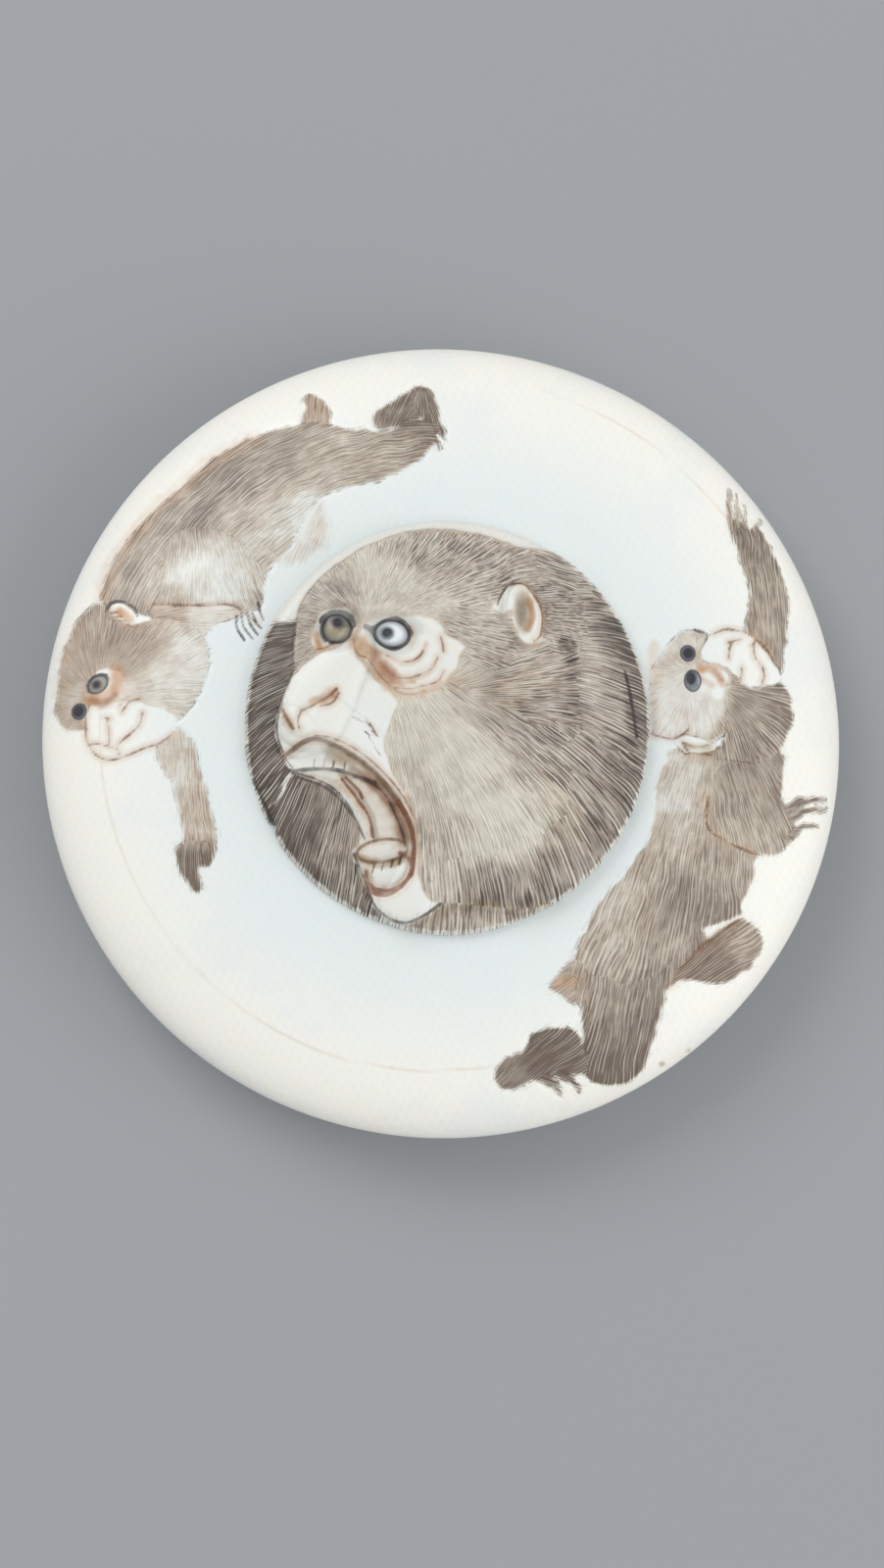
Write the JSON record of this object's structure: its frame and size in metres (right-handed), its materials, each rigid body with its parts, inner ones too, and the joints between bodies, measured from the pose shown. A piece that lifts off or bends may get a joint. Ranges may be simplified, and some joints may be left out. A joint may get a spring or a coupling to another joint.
{
  "type": "carved monkey plaque",
  "caption": "Round bun-shaped ivory plaque with a raised roundel carved as a shouting monkey's head and engraved monkeys around it.",
  "frame": {"origin": "middle of the flat seat on the plaque's underside", "axes": "+Z out of the carved face, +Y to the top of the picture on it, +X to its right"},
  "size_m": [0.048, 0.048, 0.012],
  "materials": {
    "ivory": "polished, slightly translucent, with stained engraving"
  },
  "bodies": {
    "root": {"carved_disc": "ivory"}
  },
  "joints": []
}
